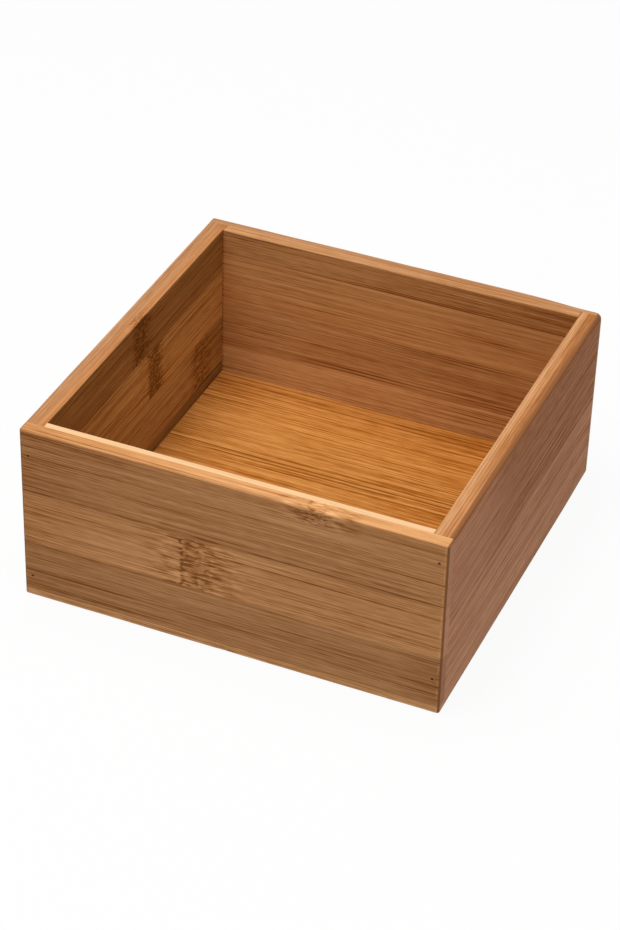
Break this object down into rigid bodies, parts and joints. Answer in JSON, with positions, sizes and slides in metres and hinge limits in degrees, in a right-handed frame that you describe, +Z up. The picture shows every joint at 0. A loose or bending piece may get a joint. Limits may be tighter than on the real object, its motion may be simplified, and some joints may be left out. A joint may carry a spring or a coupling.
{
  "type": "bamboo organizer",
  "caption": "Square open-topped box of glued bamboo slats for holding small items in a drawer or on a vanity, with rabbeted corners, steel pins and an inset floor.",
  "frame": {"origin": "middle of the underside of the box, on the surface that it stands on", "axes": "+Z up, +X to the right as seen from the front, and +Y from the front to the back"},
  "size_m": [0.15, 0.15, 0.0675],
  "materials": {
    "bamboo_front_outer": "satin oiled bamboo",
    "bamboo_front_inner": "satin oiled bamboo",
    "bamboo_back_outer": "satin oiled bamboo",
    "bamboo_back_inner": "satin oiled bamboo",
    "bamboo_left_outer": "satin oiled bamboo",
    "bamboo_left_inner": "satin oiled bamboo",
    "bamboo_right_outer": "satin oiled bamboo",
    "bamboo_right_inner": "satin oiled bamboo",
    "bamboo_floor": "satin oiled bamboo",
    "pin_steel": "dull, darkened"
  },
  "bodies": {
    "root": {"front_outer_slat_1": "bamboo_front_outer", "front_outer_slat_2": "bamboo_front_outer", "front_outer_slat_3": "bamboo_front_outer", "front_outer_slat_4": "bamboo_front_outer", "front_outer_slat_5": "bamboo_front_outer", "front_inner_slat_1": "bamboo_front_inner", "front_inner_slat_2": "bamboo_front_inner", "front_inner_slat_3": "bamboo_front_inner", "front_inner_slat_4": "bamboo_front_inner", "back_outer_slat_1": "bamboo_back_outer", "back_outer_slat_2": "bamboo_back_outer", "back_outer_slat_3": "bamboo_back_outer", "back_outer_slat_4": "bamboo_back_outer", "back_inner_slat_1": "bamboo_back_inner", "back_inner_slat_2": "bamboo_back_inner", "back_inner_slat_3": "bamboo_back_inner", "back_inner_slat_4": "bamboo_back_inner", "left_outer_slat_1": "bamboo_left_outer", "left_outer_slat_2": "bamboo_left_outer", "left_outer_slat_3": "bamboo_left_outer", "left_outer_slat_4": "bamboo_left_outer", "left_inner_slat_1": "bamboo_left_inner", "left_inner_slat_2": "bamboo_left_inner", "left_inner_slat_3": "bamboo_left_inner", "left_inner_slat_4": "bamboo_left_inner", "right_outer_slat_1": "bamboo_right_outer", "right_outer_slat_2": "bamboo_right_outer", "right_outer_slat_3": "bamboo_right_outer", "right_outer_slat_4": "bamboo_right_outer", "right_inner_slat_1": "bamboo_right_inner", "right_inner_slat_2": "bamboo_right_inner", "right_inner_slat_3": "bamboo_right_inner", "right_inner_slat_4": "bamboo_right_inner", "floor_slat_1": "bamboo_floor", "floor_slat_2": "bamboo_floor", "floor_slat_3": "bamboo_floor", "floor_slat_4": "bamboo_floor", "floor_slat_5": "bamboo_floor", "floor_slat_6": "bamboo_floor", "floor_slat_7": "bamboo_floor", "floor_slat_8": "bamboo_floor", "front_left_upper_pin": "pin_steel", "front_left_lower_pin": "pin_steel", "front_right_upper_pin": "pin_steel", "front_right_lower_pin": "pin_steel", "back_left_upper_pin": "pin_steel", "back_left_lower_pin": "pin_steel", "back_right_upper_pin": "pin_steel", "back_right_lower_pin": "pin_steel"}
  },
  "joints": []
}
